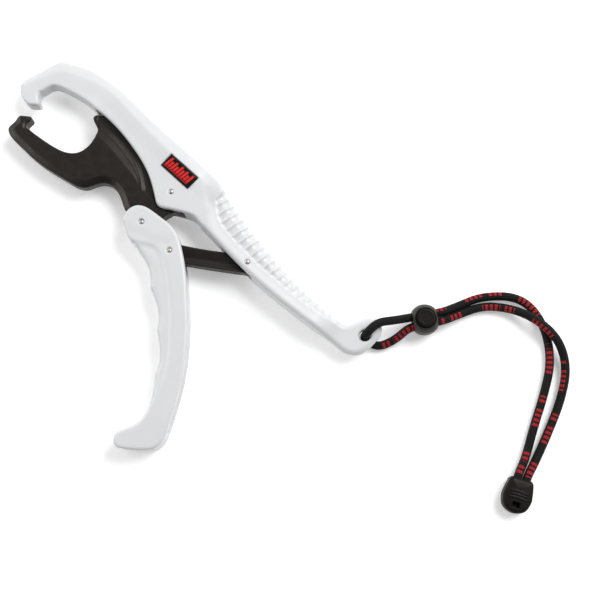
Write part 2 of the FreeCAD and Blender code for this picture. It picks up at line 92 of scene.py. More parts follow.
# A piece made in its own axes has a place: its X, Y and turn.
LOCK_PLACE = (139.5, 33.0, math.radians(49.0))
CLAMP_PLACE = (225.55, 2.4, math.radians(-67.9))
CLAMP_HEIGHT = 8.6
CLAMP_MIDDLE = 4.3

# The lanyard's route from the clamp, through the lock, down the eye and back.
CORD_ROUTE = [
    (225.8, -4.0, 4.3), (223.0, 2.9, 4.3), (221.3, 11.6, 2.4), (214.8, 27.0, 2.2),
    (209.0, 43.0, 2.2), (201.7, 58.5, 2.2), (188.0, 71.0, 2.2), (170.5, 75.2, 2.2),
    (154.6, 63.0, 2.2), (147.4, 48.6, 3.6), (143.1, 40.5, 6.9), (132.6, 28.4, 6.9),
    (128.0, 21.8, 12.0), (122.4, 15.4, 14.4), (121.8, 6.8, 13.9), (121.8, 6.8, 2.2),
    (130.2, 7.4, 2.2), (134.8, 17.0, 3.0), (135.9, 25.5, 6.9), (146.4, 37.6, 6.9),
    (150.2, 45.4, 3.6), (157.4, 58.6, 2.2), (169.5, 66.6, 3.4), (182.5, 69.4, 7.6),
    (197.0, 68.6, 7.2), (209.5, 61.0, 3.0), (217.0, 46.5, 2.2), (222.0, 29.5, 2.2),
    (226.0, 13.0, 2.4), (227.1, 4.5, 4.3), (229.85, -2.33, 4.3),
]
# Soft lines on the faces, in plan.
NECK_CREASE = [(-97.0, -5.0), (-92.5, 4.0), (-86.8, 12.9), (-79.4, 15.8), (-72.0, 18.2),
               (-63.1, 19.6), (-52.7, 19.4), (-41.0, 17.8), (-29.4, 16.5), (-17.8, 15.5),
               (-6.6, 15.2), (3.4, 15.0), (13.0, 14.0), (20.2, 11.4), (28.0, 5.0), (41.7, 1.2)]
SHOULDER_DIP = [(7.5, 16.8), (10.9, 14.9), (14.7, 12.2), (18.5, 8.6)]
RIB_ENDS = [(20.2, 11.4), (24.0, 7.7), (28.0, 4.8), (33.0, 2.7), (41.7, 1.2), (50.3, 0.3),
            (59.1, -0.7), (72.8, -0.7), (86.5, -0.6), (95.7, 0.1), (106.0, 2.0)]
LEVER_CREASE = [(-6.0, -36.0), (0.8, -32.6), (4.3, -31.2), (7.5, -29.5), (10.6, -28.0),
                (13.9, -27.4), (18.2, -28.5), (22.7, -31.5), (27.0, -35.0), (31.4, -38.8),
                (36.5, -43.6), (44.1, -51.8), (53.2, -62.8), (60.0, -74.5), (64.6, -87.0),
                (66.0, -98.0), (62.0, -106.0)]
HEAD_DIP = [(-2.0, -30.0), (4.2, -27.3), (10.4, -25.7), (16.3, -22.0)]
JAW_RIDGE = [(-50.6, -1.2), (-42.7, -1.7), (-34.7, -3.0), (-26.7, -4.4), (-19.8, -5.9),
             (-13.5, -8.6)]
JAW_CREST = [(-54.5, 4.0), (-51.7, 4.1), (-44.1, 4.2), (-36.0, 3.0), (-28.6, 1.0), (-23.0, -1.4),
             (-17.8, -4.8), (-13.5, -8.2)]
LINK_FOLD = [(19.6, -25.4), (36.8, -14.9), (54.6, -4.6)]


# ---------------------------------------------------------------- camera and cord

def make_camera():
    """A camera at the angle the grip is seen from, with the whole lanyard in view."""
    camera = bpy.data.objects.new("camera", bpy.data.cameras.new("camera"))
    bpy.context.scene.collection.objects.link(camera)
    camera.data.lens = 60
    camera.data.sensor_width = 36
    place = Vector(CAMERA_PLACE) * MM
    back = (place - Vector(CAMERA_TARGET) * MM).normalized()
    right = Vector(CAMERA_UP).cross(back).normalized()
    up = back.cross(right)
    turn = Matrix((right, up, back)).transposed()
    camera.matrix_world = Matrix.Translation(place) @ turn.to_4x4()
    camera.data.clip_start = 0.01
    bpy.context.scene.camera = camera


def cord_line():
    """The lanyard's smooth line, as points read from its NURBS spline."""
    curve = bpy.data.curves.new("lanyard_line", "CURVE")
    curve.dimensions = "3D"
    curve.resolution_u = 24
    spline = curve.splines.new("NURBS")
    spline.points.add(len(CORD_ROUTE) - 1)
    for point, place in zip(spline.points, CORD_ROUTE):
        point.co = (*(Vector(place) * MM), 1.0)
    spline.order_u = 3
    spline.use_endpoint_u = True
    carrier = bpy.data.objects.new("lanyard_line", curve)
    mesh = bpy.data.meshes.new_from_object(carrier)
    points = np.array([v.co for v in mesh.vertices])
    bpy.data.objects.remove(carrier)
    bpy.data.meshes.remove(mesh)
    keep = np.concatenate([[True], np.linalg.norm(np.diff(points, axis=0), axis=1) > TINY])
    return points[keep]


def tube_frames(points):
    """A side and an up vector at each point of a line, held upright where it lies flat."""
    tangents = np.gradient(points, axis=0)
    tangents /= np.linalg.norm(tangents, axis=1)[:, None]
    upright = np.array([0.0, 0.0, 1.0])
    pull = 0.25
    up = upright
    sides, ups = [], []
    for tangent in tangents:
        level = max(0.0, 1.0 - tangent[2] ** 2)
        wanted = up + pull * level ** 4 * upright
        up = wanted - tangent * wanted.dot(tangent)
        up /= np.linalg.norm(up)
        ups.append(up)
        sides.append(np.cross(tangent, up))
    return np.array(sides), np.array(ups)


def make_cord():
    """The braided cord, a tube along the lanyard's line with its length and turn as UV."""
    line = cord_line()
    lengths = np.concatenate([[0.0], np.cumsum(np.linalg.norm(np.diff(line, axis=0), axis=1))])
    steps = np.linspace(0.0, lengths[-1], int(lengths[-1] / (CORD_STEP * MM)))
    points = np.stack([np.interp(steps, lengths, line[:, axis]) for axis in range(3)], axis=1)
    sides, ups = tube_frames(points)
    around = CORD_SIDES
    turns = (np.arange(around) * 2 * math.pi / around)[None, :, None]
    radius = CORD_DIAMETER / 2 * MM
    ring = np.cos(turns) * ups[:, None, :] + np.sin(turns) * sides[:, None, :]
    vertices = (points[:, None, :] + radius * ring).reshape(-1, 3)
    along = steps / MM / CORD_UV_SPAN
    faces, uvs = [], []
    for step in range(len(points) - 1):
        for slice_ in range(around):
            after = (slice_ + 1) % around
            row = step * around
            faces.append((row + slice_, row + around + slice_, row + around + after, row + after))
            near, far = along[step], along[step + 1]
            low, high = slice_ / around, (slice_ + 1) / around
            uvs.extend([(near, low), (far, low), (far, high), (near, high)])
    for end in (range(around), range(len(vertices) - 1, len(vertices) - around - 1, -1)):
        faces.append(tuple(end))
        uvs.extend([(0.0, 0.0)] * around)
    cord = new_mesh("lanyard", vertices, faces)
    layer = cord.data.uv_layers.new(name="length_and_turn")
    layer.data.foreach_set("uv", np.array(uvs).ravel())
    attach(cord, "main_body")
    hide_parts("lanyard_cord")
    return cord


# ---------------------------------------------------------------- meshes from fields

def new_mesh(name, vertices, faces):
    """A smooth-shaded object in the scene, from points in metres."""
    mesh = bpy.data.meshes.new(name)
    mesh.from_pydata([tuple(v) for v in vertices], [], [tuple(f) for f in faces])
    mesh.validate()
    mesh.polygons.foreach_set("use_smooth", [True] * len(mesh.polygons))
    piece = bpy.data.objects.new(name, mesh)
    bpy.context.scene.collection.objects.link(piece)
    return piece


class Grid:
    """A grid of cells over a box, in millimetres, with its X, Y and Z coordinates."""

    def __init__(self, low, high, cell):
        self.cell = cell
        self.low = np.array(low, float) - 2.5 * cell
        count = np.ceil((np.array(high, float) + 2.5 * cell - self.low) / cell).astype(int) + 1
        axes = [self.low[a] + cell * np.arange(count[a]) for a in range(3)]
        self.x = axes[0][:, None]
        self.y = axes[1][None, :]
        self.z = axes[2][None, None, :]
        self.plan = (count[0], count[1])


def field_surface(field, grid):
    """Points and four-sided faces on a field's zero surface, one point in each crossed cell."""
    inside = field < 0
    shape = np.array(field.shape) - 1
    corners = [np.array(c) for c in np.ndindex(2, 2, 2)]
    count = np.zeros(shape, np.int8)
    for i, j, k in corners:
        count += inside[i:shape[0] + i, j:shape[1] + j, k:shape[2] + k]
    active = (count > 0) & (count < 8)
    cells = np.argwhere(active)
    index = np.full(shape, -1, np.int64)
    index[active] = np.arange(len(cells))
    total = np.zeros((len(cells), 3))
    hits = np.zeros(len(cells))
    for axis in range(3):
        step = np.eye(3, dtype=int)[axis]
        for corner in (c for c in corners if c[axis] == 0):
            start = field[tuple((cells + corner).T)]
            end = field[tuple((cells + corner + step).T)]
            crossed = (start < 0) != (end < 0)
            share = start[crossed] / (start[crossed] - end[crossed])
            total[crossed] += corner + step * share[:, None]
            hits[crossed] += 1
    points = grid.low + (cells + total / hits[:, None]) * grid.cell
    return points, surface_faces(inside, index)


def surface_faces(inside, index):
    """One four-sided face around each grid edge that crosses the surface."""
    faces = []
    for axis in range(3):
        u, v = [a for a in range(3) if a != axis]
        start = np.take(inside, np.arange(inside.shape[axis] - 1), axis)
        end = np.take(inside, np.arange(1, inside.shape[axis]), axis)
        edges = np.argwhere(start != end)
        leaving = start[tuple(edges.T)]
        steps = np.eye(3, dtype=int)
        around = [edges - steps[u] - steps[v], edges - steps[v], edges, edges - steps[u]]
        quads = np.stack([index[tuple(cell.T)] for cell in around], axis=1)
        flip = leaving == (axis == 1)
        quads[flip] = quads[flip][:, ::-1]
        faces.append(quads)
    return np.concatenate(faces)


def field_piece(name, field, grid, place=(0.0, 0.0, 0.0)):
    """A smooth piece from a field; place is its X, Y and turn when it has its own axes."""
    points, faces = field_surface(field, grid)
    cosine, sine = math.cos(place[2]), math.sin(place[2])
    turn = np.array([[cosine, -sine], [sine, cosine]])
    points[:, :2] = points[:, :2] @ turn.T + place[:2]
    return new_mesh(name, points * MM, faces)


def face_outline(node, height=None):
    """The longest loop around a node's upward faces, or those at one height, in millimetres."""
    mesh = NODES[node].data
    mesh.calc_loop_triangles()
    corners = np.array([v.co for v in mesh.vertices]) / MM
    ids = {}
    key = [ids.setdefault((round(c[0], 3), round(c[1], 3)), len(ids)) for c in corners]
    plan = {i: corners[n][:2] for n, i in enumerate(key)}
    edges = set()
    least_upward, near_height = 0.2, 0.01
    for triangle in mesh.loop_triangles:
        if triangle.normal.z < least_upward:
            continue
        heights = [corners[v][2] for v in triangle.vertices]
        if height is not None and any(abs(z - height) > near_height for z in heights):
            continue
        ends = [key[v] for v in triangle.vertices]
        for a, b in zip(ends, ends[1:] + ends[:1]):
            if (b, a) in edges:
                edges.discard((b, a))
            elif a != b:
                edges.add((a, b))
    loops = []
    follow = {}
    for a, b in edges:
        follow.setdefault(a, []).append(b)
    while follow:
        at = next(iter(follow))
        loop = []
        while at in follow:
            loop.append(plan[at])
            ahead = follow[at].pop()
            if not follow[at]:
                del follow[at]
            at = ahead
        loops.append(np.array(loop))
    return max(loops, key=loop_length)


def loop_length(loop):
    """The length around a closed loop."""
    return np.linalg.norm(np.diff(loop, axis=0, append=loop[:1]), axis=1).sum()


def rounded_loop(loop, sharp=24.0, spacing=0.6):
    """A loop curved through its points, except at corners of more than the sharp angle.

    It returns the curve and those corners.
    """
    back = loop - np.roll(loop, 1, axis=0)
    ahead = np.roll(loop, -1, axis=0) - loop
    cross = back[:, 0] * ahead[:, 1] - back[:, 1] * ahead[:, 0]
    turn = np.degrees(np.abs(np.arctan2(cross, (back * ahead).sum(axis=1))))
    near, far = np.linalg.norm(back, axis=1), np.linalg.norm(ahead, axis=1)
    near, far = near[:, None], far[:, None]
    slope = (back / near * far + ahead / far * near) / (near + far)
    corner = turn > sharp
    out = []
    for i in range(len(loop)):
        j = (i + 1) % len(loop)
        gap = far[i, 0]
        count = max(1, int(gap / spacing))
        t = (np.arange(count) / count)[:, None]
        start = ahead[i] / gap if corner[i] else slope[i]
        end = ahead[i] / gap if corner[j] else slope[j]
        out.append((2 * t**3 - 3 * t**2 + 1) * loop[i] + (t**3 - 2 * t**2 + t) * gap * start
                   + (3 * t**2 - 2 * t**3) * loop[j] + (t**3 - t**2) * gap * end)
    return np.concatenate(out), loop[corner]


def distance_to_line(line, grid, closed=False):
    """The distance from each point of the plan to a line, and the share of it passed there."""
    ends = np.roll(line, -1, axis=0) if closed else line[1:]
    starts = line if closed else line[:-1]
    lengths = np.linalg.norm(ends - starts, axis=1)
    passed = np.concatenate([[0.0], np.cumsum(lengths)])
    best = np.full(grid.plan, 1e9)
    share = np.zeros(grid.plan)
    for number, (start, end) in enumerate(zip(starts, ends)):
        way = end - start
        along = way / max(lengths[number], 1e-9) ** 2
        x, y = grid.x - start[0], grid.y - start[1]
        t = np.clip(x * along[0] + y * along[1], 0, 1)
        gap = (x - t * way[0]) ** 2 + (y - t * way[1]) ** 2
        closer = gap < best
        best[closer] = gap[closer]
        share[closer] = (passed[number] + t * lengths[number])[closer]
    return np.sqrt(best), share / passed[-1]


def inside_loop(loop, grid):
    """Where the plan is inside a loop."""
    odd = np.zeros(grid.plan, bool)
    for start, end in zip(loop, np.roll(loop, -1, axis=0)):
        if start[1] == end[1]:
            continue
        spans = (grid.y >= min(start[1], end[1])) & (grid.y < max(start[1], end[1]))
        cut = start[0] + (grid.y - start[1]) * (end[0] - start[0]) / (end[1] - start[1])
        odd ^= spans & (grid.x < cut)
    return odd


def signed_distance(loop, grid):
    """The distance to a loop, negative inside it."""
    distance = distance_to_line(loop, grid, closed=True)[0]
    return np.where(inside_loop(loop, grid), -distance, distance)


def smooth_curve(points, spacing=0.8):
    """An open smooth curve through a few points."""
    points = np.array(points, float)
    padded = np.vstack([2 * points[0] - points[1], points, 2 * points[-1] - points[-2]])
    out = []
    for before, start, end, after in zip(padded, padded[1:], padded[2:], padded[3:]):
        count = max(2, int(np.linalg.norm(end - start) / spacing))
        t = np.linspace(0, 1, count, endpoint=False)[:, None]
        square = 2 * before - 5 * start + 4 * end - after
        cube = 3 * start - before - 3 * end + after
        out.append(0.5 * (2 * start + (end - before) * t + square * t**2 + cube * t**3))
    return np.vstack(out + [points[-1:]])


def ramp(value, start, end):
    """0 before start, 1 after end, and a smooth rise between."""
    t = np.clip((value - start) / (end - start), 0, 1)
    return t * t * (3 - 2 * t)


def smooth_min(a, b, radius):
    """The smaller of two fields, with a small round where they meet."""
    blend = np.clip(0.5 + 0.5 * (b - a) / radius, 0, 1)
    return b + (a - b) * blend - radius * blend * (1 - blend)


def smooth_max(a, b, radius):
    """The larger of two fields, with a small round where they meet."""
    return -smooth_min(-a, -b, radius)


def rounded_plate(distance, low, high, radius, grid):
    """A plate over an outline, between two surfaces, with its edges rounded off."""
    low, high, radius = (np.broadcast_to(v, grid.plan)[:, :, None] for v in (low, high, radius))
    across = distance[:, :, None] + radius
    above = np.maximum(grid.z - high, low - grid.z) + radius
    outer = np.hypot(np.maximum(across, 0), np.maximum(above, 0))
    return np.minimum(np.maximum(across, above), 0) + outer - radius


def bore(centre, radius, grid, floor=-1.0):
    """An upright round hole from a floor up, right through a piece if none is given."""
    across = np.hypot(grid.x - centre[0], grid.y - centre[1])[:, :, None] - radius
    return np.maximum(across, floor - grid.z)


def channel(node, floor, grid, growth=0.35):
    """The inner channel above a node's face at this height, the same above the mid plane."""
    plan = signed_distance(face_outline(node, floor), grid) - growth
    return np.maximum(plan[:, :, None], np.abs(grid.z - MID_PLANE) - (MID_PLANE - floor))


def cut(field, tool, radius=0.35):
    """Takes the tool away from the field, with a small round along the new edge."""
    return smooth_max(field, -tool, radius)


def box_of(node):
    """A node's lowest and highest corners, in millimetres."""
    low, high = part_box(node)
    return np.array(low) / MM, np.array(high) / MM


# ---------------------------------------------------------------- moulded pieces

def stretch(loop, start, end):
    """The part of a loop between the points nearest to two places, in the loop's order."""
    first, last = (int(np.argmin(np.linalg.norm(loop - np.array(p), axis=1))) for p in (start, end))
    return loop[(first + np.arange((last - first) % len(loop) + 1)) % len(loop)]


def make_shell():
    """The white main body: hook, bevelled neck, waist, ribbed handle and lanyard eye."""
    low, high = box_of("body_back")
    grid = Grid((low[0], low[1], 0.0), (high[0], high[1], THICKNESS), CELL)
    outline, corners = rounded_loop(face_outline("body_front"))
    distance = signed_distance(outline, grid)
    x = grid.x + 0 * grid.y
    thin_hook = 3.5 * (1 - ramp(x, -85.0, -48.0))
    thin_eye = 4.8 * ramp(x, 96.0, 113.0)
    half = THICKNESS / 2 - thin_hook - thin_eye
    sunk = neck_drop(distance, x, grid) + handle_ribs(distance, corners, x, grid)
    edge = 1.5 + 0.9 * ramp(x, 12.0, 30.0) + 0.6 * ramp(x, 98.0, 112.0)
    field = rounded_plate(distance, MID_PLANE - half + sunk, MID_PLANE + half - sunk, edge, grid)
    for floor in BODY_CHANNEL_FLOORS:
        field = cut(field, channel("body_back", floor, grid))
    for pin in ("jaw_pin", "body_link_pin"):
        field = cut(field, bore(PIN_SPOTS[pin], RECESS_RADIUS, grid, RECESS_FLOOR), 0.15)
    field = cut(field, bore(EYE, EYE_RADIUS, grid), 1.4)
    field = cut(field, label_recess(grid), 0.2)
    shell = field_piece("white_body", field, grid)
    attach(shell, "main_body")
    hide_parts("body_front", "body_back")
    return shell


def neck_drop(distance, x, grid):
    """How far the neck's face falls: outward from its crease, inward, and at the shoulder."""
    crease = smooth_curve(NECK_CREASE)
    from_crease = distance_to_line(crease, grid)[0]
    from_edge = np.clip(-distance, 0, None)
    bevel = from_edge / (from_edge + from_crease + TINY)
    inner_plan = np.vstack([crease, [(140.0, 1.2), (140.0, -60.0), (-97.0, -60.0)]])
    inner_side = inside_loop(inner_plan, grid)
    fade = 1 - ramp(x, 6.0, 22.0)
    drop = 2.8 * (1 - bevel) ** 1.35 * ~inner_side * fade
    drop += 0.6 * ramp(from_crease, 0.0, 8.0) * inner_side * fade * ramp(x, -88.0, -66.0)
    from_shoulder = distance_to_line(smooth_curve(SHOULDER_DIP), grid)[0]
    return drop + 0.4 * np.exp(-(from_shoulder / 2.6) ** 2)


def handle_ribs(distance, corners, x, grid):
    """How far the handle's face falls: between its ribs, along their inner ends and at its edge.

    Each rib starts at a sharp corner of the outline.
    """
    tips = corners[(corners[:, 0] > 18) & (corners[:, 0] < 108) & (corners[:, 1] > 3)]
    tips = tips[np.argsort(tips[:, 0])]
    share = distance_to_line(tips, grid)[1]
    ribbed_plan = np.vstack([smooth_curve(RIB_ENDS), [(106.0, 30.0), (20.2, 30.0)]])
    within = -signed_distance(ribbed_plan, grid)
    along_handle = ramp(x, 14.0, 26.0) * (1 - ramp(x, 100.0, 110.0))
    taper = 1 - 0.45 * ramp(x, 60.0, 104.0)
    hollow = ramp(within, -0.4, 0.9) * rib_hollow(share, len(tips) - 1) * taper
    valley = 0.85 * ramp(within, -6.5, 0.4) - 0.4 * ramp(within, 0.0, 4.0)
    roll = 1.7 * ramp(distance, -5.0, 0.0) * ramp(within, -1.0, 3.0)
    return hollow + (roll + valley) * along_handle


def rib_hollow(share, ribs):
    """The depth of the hollows between the ribs, nothing on a rib, whose crest is narrow."""
    away = np.abs(share * ribs - np.round(share * ribs))
    crest = 0.16
    return 0.4 * np.clip(away / crest, 0, 1) + 0.3 * np.sin(np.pi * away)


def label_recess(grid):
    """The recess for the label, a little larger than it."""
    x, y = grid.x - LABEL_CENTRE[0], grid.y - LABEL_CENTRE[1]
    cosine, sine = math.cos(LABEL_TURN), math.sin(LABEL_TURN)
    along, across = x * cosine + y * sine, y * cosine - x * sine
    growth = 0.15
    plan = rectangle(along, across, LABEL_SIZE) - growth
    return np.maximum(plan[:, :, None], RECESS_FLOOR - grid.z)


def rectangle(x, y, size):
    """The plan of a rectangle of this length and width about the origin."""
    return np.maximum(np.abs(x) - size[0] / 2, np.abs(y) - size[1] / 2)


def make_lever():
    """The white lever: round head, scooped finger side with grooves, open inner side."""
    low, high = box_of("lever")
    grid = Grid(low, high, CELL)
    outline = rounded_loop(face_outline("lever", THICKNESS))[0]
    distance = signed_distance(outline, grid)
    crease = smooth_curve(LEVER_CREASE)
    finger_plan = np.vstack([crease, [(40.0, -125.0), (-40.0, -125.0), (-40.0, -27.0)]])
    within = -signed_distance(finger_plan, grid)
    from_crease = distance_to_line(crease, grid)[0]
    slope = from_crease / (from_crease + np.clip(-distance, 0.05, None))
    toward_foot = ramp(-grid.y + 0 * grid.x, 64.0, 98.0)
    scoop = 0.9 * ramp(within, -1.2, 2.0) + np.where(within > 0, 0.7 * slope ** 3, 0.0)
    scoop += 0.4 * np.exp(-(from_crease / 1.4) ** 2) * (1 - toward_foot)
    scoop *= 1 - 0.85 * toward_foot
    from_dip = distance_to_line(smooth_curve(HEAD_DIP), grid)[0]
    scoop += 0.35 * np.exp(-(from_dip / 3.4) ** 2)
    edge = 1.5 + 1.1 * ramp(within, -1.0, 3.0)
    field = rounded_plate(distance, scoop, THICKNESS - scoop, edge, grid)
    field = cut(field, channel("lever", LEVER_CHANNEL_FLOOR, grid), 0.6)
    for pin in ("lever_pin", "lever_link_pin"):
        field = cut(field, bore(PIN_SPOTS[pin], RECESS_RADIUS, grid, RECESS_FLOOR), 0.15)
    lever = field_piece("white_lever", field, grid)
    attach(lever, "squeeze_lever")
    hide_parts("lever")
    return lever


def make_jaw():
    """The black lower jaw: chamfered along its outer edge, with a valley behind the throat."""
    low, high = box_of("lower_jaw")
    grid = Grid(low, high, CELL)
    outline = rounded_loop(face_outline("lower_jaw"))[0]
    distance = signed_distance(outline, grid)
    ridge, crest = smooth_curve(JAW_RIDGE), smooth_curve(JAW_CREST)
    from_ridge = distance_to_line(ridge, grid)[0]
    from_crest = distance_to_line(crest, grid)[0]
    between = inside_loop(np.vstack([ridge, crest[::-1]]), grid)
    throat_side = inside_loop(np.vstack([crest, [(8.0, -8.0), (12.0, 20.0), (-64.0, 20.0)]]), grid)
    share = from_ridge / (from_ridge + from_crest + TINY)
    profile = np.interp(share, [0.0, 0.62, 1.0], [0.0, 1.0, 0.1])
    width = np.minimum(from_ridge + from_crest, 5.5)
    groove = np.where(between, 0.24 * width * profile, 0.0)
    groove += np.where(throat_side, 0.9 * ramp(from_crest, 0.2, 2.2), 0.0)
    lower_edge = distance_to_line(stretch(outline, (-88.4, -22.9), (-8.8, -23.9)), grid)[0]
    tip_edge = distance_to_line(stretch(outline, (-81.0, -21.6), (-88.1, -18.7)), grid)[0]
    chamfer = 1.6 * np.clip(1 - lower_edge / 3.3, 0, 1) + 0.8 * np.clip(1 - tip_edge / 1.6, 0, 1)
    sunk = np.maximum(groove, chamfer)
    field = rounded_plate(distance, JAW_LOW + sunk, JAW_HIGH - sunk, 0.6, grid)
    for pin in ("jaw_pin", "lever_pin"):
        field = cut(field, bore(PIN_SPOTS[pin], PIN_HOLE_RADIUS, grid))
    jaw = field_piece("black_jaw", field, grid)
    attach(jaw, "jaw")
    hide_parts("lower_jaw")
    return jaw


def make_link():
    """The black link bar, each face folded into a valley along its length."""
    low, high = box_of("link_bar")
    grid = Grid(low, high, cell=0.4)
    outline = rounded_loop(face_outline("link_bar"))[0]
    distance = signed_distance(outline, grid)
    fold = np.array(LINK_FOLD)
    from_fold = distance_to_line(fold, grid)[0]
    above = inside_loop(np.vstack([fold, [(60.0, 12.0), (10.0, 12.0)]]), grid)
    valley = 1.2 * np.clip(1 - from_fold / np.where(above, 5.0, 2.6), 0, 1)
    field = rounded_plate(distance, LINK_LOW + valley, LINK_HIGH - valley, 0.6, grid)
    field = cut(field, bore(PIN_SPOTS["lever_link_pin"], LOOSE_HOLE_RADIUS, grid))
    field = cut(field, bore(PIN_SPOTS["body_link_pin"], PIN_HOLE_RADIUS, grid))
    link = field_piece("black_link", field, grid)
    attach(link, "link")
    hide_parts("link_bar")
    return link


def make_label():
    """The black label with its bevelled rim, and its red pattern."""
    length, width = LABEL_SIZE
    grid = Grid((-length / 2, -width / 2, RECESS_FLOOR), (length / 2, width / 2, LABEL_TOP),
                cell=0.14)
    plan = rectangle(grid.x, grid.y, LABEL_SIZE)
    bevel = 0.62 * (1 - ramp(-plan, 0.05, 0.85))
    lip = 0.12 * (1 - ramp(-plan, 0.9, 1.2))
    top = LABEL_TOP - 0.12 - bevel + lip
    sides = np.maximum(RECESS_FLOOR - grid.z, grid.z - top[:, :, None])
    field = np.maximum(plan[:, :, None], sides)
    label = field_piece("label", field, grid, (*LABEL_CENTRE, LABEL_TURN))
    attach(label, "main_body")
    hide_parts("label_plate")
    return label, make_label_marks()


def make_label_marks():
    """Slanted red bars of uneven height on the label, over a line. They stand for no lettering."""
    mesh = bmesh.new()
    top = LABEL_TOP - 0.07
    low = top - 0.12
    first, base, pitch, wide = -8.2, -2.2, 1.78, 1.35
    for number, height in enumerate((5.3, 3.7, 4.6, 3.4, 5.0, 3.9, 4.8, 3.5, 5.3)):
        left = first + number * pitch
        right = left + wide
        slant = 0.14 * height
        corners = [(left, base), (right, base), (right + slant, base + height),
                   (left + slant, base + height)]
        raised_polygon(mesh, corners, low, top)
    raised_polygon(mesh, [(-8.2, -2.95), (7.4, -2.95), (7.5, -2.5), (-8.1, -2.5)], low, top)
    data = bpy.data.meshes.new("label_marks")
    mesh.to_mesh(data)
    mesh.free()
    marks = bpy.data.objects.new("label_marks", data)
    bpy.context.scene.collection.objects.link(marks)
    turn = Matrix.Rotation(LABEL_TURN, 4, "Z")
    data.transform(Matrix.Scale(MM, 4) @ Matrix.Translation((*LABEL_CENTRE, 0)) @ turn)
    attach(marks, "main_body")
    return marks


def raised_polygon(mesh, corners, low, high):
    """A flat-topped block with a slightly smaller top."""
    middle = Vector((sum(c[0] for c in corners), sum(c[1] for c in corners), 0)) / len(corners)
    base = [mesh.verts.new((x, y, low)) for x, y in corners]
    inset = 0.06
    lid = []
    for x, y in corners:
        toward = (middle - Vector((x, y, 0))).normalized() * inset
        lid.append(mesh.verts.new((x + toward.x, y + toward.y, high)))
    mesh.faces.new(lid)
    mesh.faces.new(list(reversed(base)))
    for i in range(len(corners)):
        j = (i + 1) % len(corners)
        mesh.faces.new((base[i], base[j], lid[j], lid[i]))


def make_pin(node, body):
    """A steel pin with a domed head that stands in its recess."""
    low, high = box_of(node)
    radius, foot, dome, around = PIN_DIAMETER / 2, 0.15, 0.75, 40
    profile = [(radius - foot, low[2]), (radius, low[2] + foot)]
    profile += [(radius * s, high[2] - dome * s ** 2.4) for s in np.linspace(1.0, 0.0, 9)[:-1]]
    vertices = [(r * math.cos(t), r * math.sin(t), z) for r, z in profile
                for t in np.arange(around) * 2 * math.pi / around]
    vertices += [(0.0, 0.0, low[2]), (0.0, 0.0, high[2])]
    faces = []
    last = (len(profile) - 1) * around
    for slice_ in range(around):
        after = (slice_ + 1) % around
        for row in range(0, last, around):
            faces.append((row + slice_, row + after, row + around + after, row + around + slice_))
        faces.append((len(vertices) - 2, after, slice_))
        faces.append((last + slice_, last + after, len(vertices) - 1))
    centre = Vector((*PIN_SPOTS[node], 0.0))
    pin = new_mesh(node + "_turned", [(centre + Vector(v)) * MM for v in vertices], faces)
    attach(pin, body)
    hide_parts(node)
    return pin


def make_lock():
    """The cord lock: a ball with two flats, bored for its button, which is ringed by a groove."""
    grid = Grid((-8.0, -8.0, 0.0), (8.0, 8.0, 14.6), FINE_CELL)
    radius = np.hypot(grid.x, grid.y)[:, :, None]
    beside_x = np.abs(grid.x + 0 * grid.y)[:, :, None]
    beside_y = np.abs(grid.y + 0 * grid.x)[:, :, None]
    ball_top = 12.4
    side = np.interp(grid.z.ravel(), [0.0, 0.6, 1.8, 4.8, 7.4, 10.2, ball_top],
                     [5.5, 6.2, 6.8, 7.7, 7.85, 7.2, 5.6])
    ball = smooth_max((radius - side) * 0.95, np.maximum(-grid.z, grid.z - ball_top), 0.9)
    ball = smooth_max(ball, beside_x - 6.1, 0.8)
    ball = cut(ball, np.maximum(radius - 5.2, 1.3 - grid.z), 0.5)
    passage = np.hypot(np.maximum(beside_y - 2.2, 0), grid.z - 6.9) - 2.3
    ball = cut(ball, passage, 0.5)
    barrel = field_piece("lock_ball", ball, grid, LOCK_PLACE)
    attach(barrel, "main_body")
    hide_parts("cord_lock_barrel")

    bottom, stem_top, button_top = 3.9, 12.1, 14.3
    stem = smooth_max(radius - 5.1, np.maximum(bottom - grid.z, grid.z - stem_top), 0.3)
    dish = button_top - 0.1 * (1 - ramp(radius, 2.6, 3.8))
    button = smooth_max(radius - 4.35, np.maximum(bottom - grid.z, grid.z - dish), 0.7)
    slot = np.maximum(beside_y - 4.5, np.abs(grid.z - 7.9) - 3.25)
    field = cut(np.minimum(stem, button), slot, 0.3)
    plunger = field_piece("lock_button", field, grid, LOCK_PLACE)
    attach(plunger, "lock_button")
    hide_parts("cord_lock_plunger")
    return barrel, plunger


